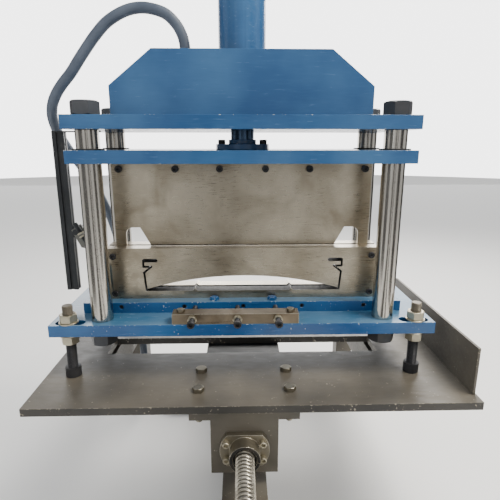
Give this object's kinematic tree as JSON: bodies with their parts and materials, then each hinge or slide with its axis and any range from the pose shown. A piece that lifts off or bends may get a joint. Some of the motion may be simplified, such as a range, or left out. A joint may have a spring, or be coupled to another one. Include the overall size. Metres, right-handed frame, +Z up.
{
  "type": "hydraulic cut-off press",
  "caption": "Four-post hydraulic profile cut-off press on a ball-screw carriage, with shearing blade, slotted dies, jack screws, switch rail and a loose hose.",
  "frame": {"origin": "floor level, straight below the centre of the die set, on the underside of the bed's middle levelling pad", "axes": "+X to the right across the die set, +Y away from the operator along the ball screw and the profile's path, +Z up"},
  "size_m": [0.9935, 1.1, 1.302],
  "materials": {
    "grey_paint": "worn semi-gloss grey-brown paint",
    "dark_paint": "dark paint in shadow",
    "blackened_steel": "black oxide",
    "rail_steel": "ground",
    "screw_steel": "oiled, ground",
    "zinc_plate": "dull zinc plate",
    "blue_paint": "satin, brushed on",
    "chrome": "polished hard chrome",
    "rod_chrome": "polished hard chrome",
    "ground_steel": "surface ground, stained",
    "brown_steel": "raw, slightly rusted",
    "machined_steel": "turned",
    "bronze": "turned",
    "black_anodised": "black anodised",
    "bracket_zinc": "dull zinc plate",
    "hose_cover": "smooth rubber cover"
  },
  "bodies": {
    "bed": {"centre_beam": "grey_paint", "bed_feet": "grey_paint", "cross_members": "grey_paint", "side_beams": "grey_paint", "rear_legs": "grey_paint", "levelling_feet": "blackened_steel", "guide_rails": "rail_steel", "screw_bearings": "blackened_steel"},
    "screw": {"ball_screw": "screw_steel"},
    "carriage": {"carriage_plate": "grey_paint", "side_guard": "grey_paint", "centre_spine": "dark_paint", "nut_bracket": "grey_paint", "ball_nut": "screw_steel", "nut_screws": "screw_steel", "bracket_bolts": "blackened_steel", "guide_blocks": "blackened_steel", "levelling_bolts": "blackened_steel", "levelling_nuts": "zinc_plate", "base_plate": "blue_paint", "post_front_left": "chrome", "post_front_right": "chrome", "post_rear_left": "chrome", "post_rear_right": "chrome", "post_top_nuts": "blackened_steel", "post_bottom_nuts": "blackened_steel", "holder_bar_front": "blue_paint", "holder_bar_rear": "blue_paint", "die_screws": "blackened_steel", "lower_die_front": "ground_steel", "lower_die_rear": "ground_steel", "clamp_bar": "brown_steel", "clamp_bar_bolts": "brown_steel", "jack_lock_nuts": "zinc_plate", "top_plate": "blue_paint", "gusset_front": "blue_paint", "gusset_rear": "blue_paint", "cylinder_barrel": "blue_paint", "cylinder_gland": "machined_steel", "cylinder_cap": "blue_paint", "port_elbow": "machined_steel", "switch_rail": "black_anodised", "hose_tube": "hose_cover", "hose_coil": "hose_cover", "hose_ferrules": "zinc_plate"},
    "ram": {"piston_rod": "rod_chrome", "piston": "machined_steel", "rod_flange": "blue_paint", "flange_screws": "blackened_steel", "moving_plate": "blue_paint", "guide_bushes": "bronze", "upper_blade": "ground_steel", "blade_holder": "blue_paint", "blade_screws": "blackened_steel"},
    "jack_left": {"jack_screw_left": "blackened_steel"},
    "jack_centre": {"jack_screw_centre": "blackened_steel"},
    "jack_right": {"jack_screw_right": "blackened_steel"},
    "switch_slider": {"switch_clamp": "black_anodised"},
    "switch_arm": {"sensor_bracket": "bracket_zinc", "prox_sensor": "black_anodised"}
  },
  "joints": [
    {"name": "carriage_slide", "type": "slide", "parent": "bed", "child": "carriage", "axis": [0, 1, 0], "range_m": [-0.1, 0.12]},
    {"name": "screw_spin", "type": "hinge", "parent": "bed", "child": "screw", "pos_m": [0, 0, 0.28], "axis": [0, 1, 0], "range_deg": [-3700, 4400]},
    {"name": "ram_slide", "type": "slide", "parent": "carriage", "child": "ram", "axis": [0, 0, -1], "range_m": [0, 0.115]},
    {"name": "jack_left_slide", "type": "slide", "parent": "carriage", "child": "jack_left", "axis": [0, -1, 0], "range_m": [0, 0.012]},
    {"name": "jack_centre_slide", "type": "slide", "parent": "carriage", "child": "jack_centre", "axis": [0, -1, 0], "range_m": [0, 0.012]},
    {"name": "jack_right_slide", "type": "slide", "parent": "carriage", "child": "jack_right", "axis": [0, -1, 0], "range_m": [0, 0.012]},
    {"name": "switch_height", "type": "slide", "parent": "carriage", "child": "switch_slider", "axis": [0, 0, 1], "range_m": [-0.1, 0.06]},
    {"name": "switch_swivel", "type": "hinge", "parent": "switch_slider", "child": "switch_arm", "pos_m": [-0.4137, -0.0105, 0.712], "axis": [0, 1, 0], "range_deg": [-12, 12]}
  ],
  "couplings": [
    {"joint": "screw_spin", "follows": "carriage_slide", "rad_per_m": 628.32}
  ]
}
